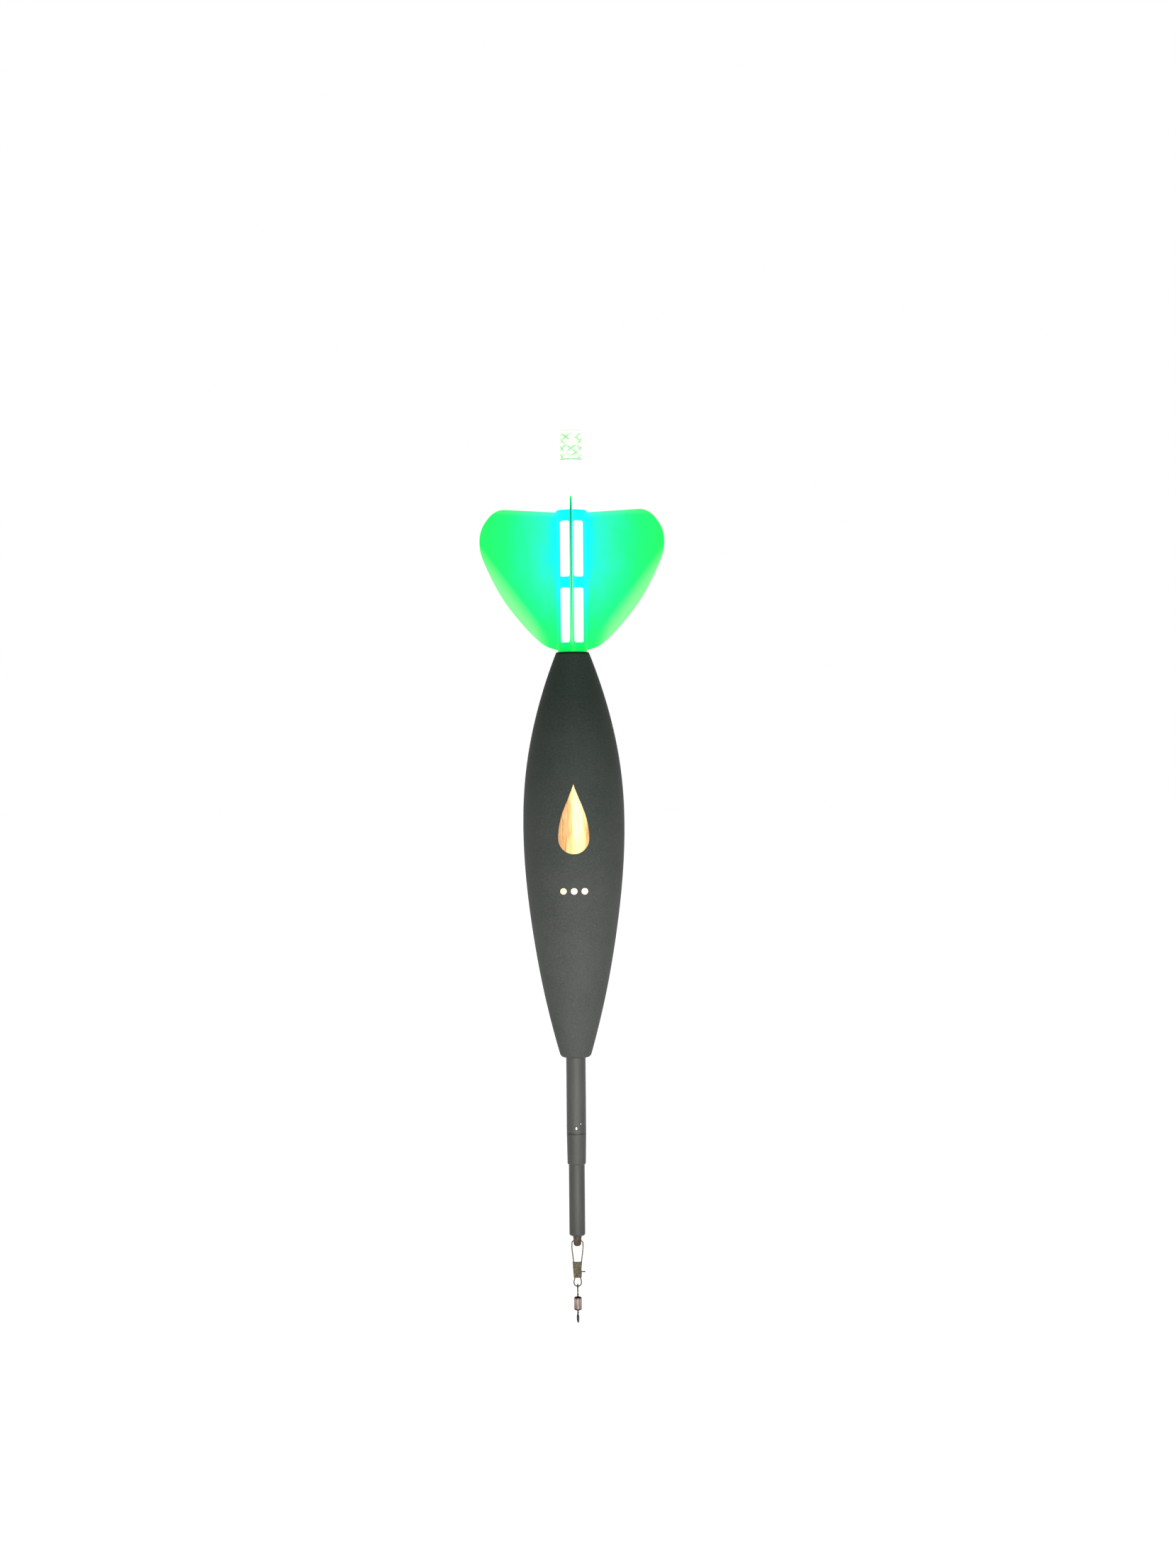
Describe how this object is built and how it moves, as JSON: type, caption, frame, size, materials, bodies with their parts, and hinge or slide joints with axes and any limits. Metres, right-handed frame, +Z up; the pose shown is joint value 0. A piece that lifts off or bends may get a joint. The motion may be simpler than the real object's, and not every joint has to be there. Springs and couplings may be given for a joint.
{
  "type": "fishing float",
  "caption": "Long-casting night fishing float: foam spindle body, finned tail with a slide-out light stick, weighted stem and a snap swivel for the line.",
  "frame": {"origin": "centre of the foam body's top face, about where the water stands when it floats", "axes": "+Z up the float's axis towards the light's tip, -Y along the front fin, +X to the right seen from that fin; the printed mark faces -Y"},
  "size_m": [0.0484, 0.042, 0.2289],
  "materials": {
    "body_foam": "matte painted foam",
    "gold_foil": "brushed foil",
    "tail_plastic": "fluorescent, lit from within",
    "black_plastic": "moulded",
    "stem_coating": "satin",
    "rod_coating": "satin",
    "ballast_brass": "plain",
    "clear_glue": "glossy bead",
    "bronze": "dull, browned",
    "opal_plastic": "milky, lit from within",
    "seal_rubber": "matte",
    "tip_plastic": "translucent, cross-hatched",
    "lamp_resin": "clear epoxy",
    "contact_metal": "plated",
    "cell_steel": "bright",
    "snap_wire": "dark, drawn",
    "swivel_nickel": "bronzed nickel"
  },
  "bodies": {
    "float": {"foam_body": "body_foam", "drop_mark": "gold_foil", "size_pips": "gold_foil", "fin_tail": "tail_plastic", "socket_plug": "black_plastic", "centre_tube": "stem_coating", "ballast_rod": "ballast_brass", "stem_ferrule": "stem_coating", "glue_ring": "clear_glue", "lower_rod": "rod_coating", "line_peg": "bronze"},
    "pin_cell": {"cell_can": "cell_steel", "cell_gasket": "black_plastic", "cell_pin": "cell_steel"},
    "light_stick": {"stick_sleeve": "opal_plastic", "sleeve_seals": "seal_rubber", "tip_grip": "tip_plastic", "lamp": "lamp_resin", "lamp_leads": "contact_metal", "lamp_carrier": "black_plastic", "pin_socket": "contact_metal", "can_contact": "contact_metal"},
    "snap": {"snap_frame_wire": "snap_wire", "snap_clasp": "bronze"},
    "snap_gate": {"snap_gate_wire": "snap_wire"},
    "upper_eye": {"swivel_upper_eye": "swivel_nickel"},
    "barrel": {"swivel_barrel": "swivel_nickel"},
    "lower_eye": {"swivel_lower_eye": "swivel_nickel"}
  },
  "joints": [
    {"name": "cell_slide", "type": "slide", "parent": "float", "child": "pin_cell", "axis": [0, 0, 1], "range_m": [0, 0.05]},
    {"name": "light_stick_slide", "type": "slide", "parent": "pin_cell", "child": "light_stick", "axis": [0, 0, 1], "range_m": [0, 0.03]},
    {"name": "snap_swing", "type": "hinge", "parent": "float", "child": "snap", "pos_m": [0, 0, -0.151], "axis": [1, 0, 0], "range_deg": [-110, 110]},
    {"name": "gate_flex", "type": "hinge", "parent": "snap", "child": "snap_gate", "pos_m": [0.00085, 0, -0.151], "axis": [0, -1, 0], "range_deg": [0, 20]},
    {"name": "upper_eye_swing", "type": "hinge", "parent": "snap", "child": "upper_eye", "pos_m": [0, 0, -0.1626], "axis": [1, 0, 0], "range_deg": [-90, 90]},
    {"name": "barrel_spin", "type": "hinge", "parent": "upper_eye", "child": "barrel", "pos_m": [0, 0, -0.16526], "axis": [0, 0, 1], "continuous": true},
    {"name": "lower_eye_spin", "type": "hinge", "parent": "barrel", "child": "lower_eye", "pos_m": [0, 0, -0.16876], "axis": [0, 0, 1], "continuous": true}
  ]
}
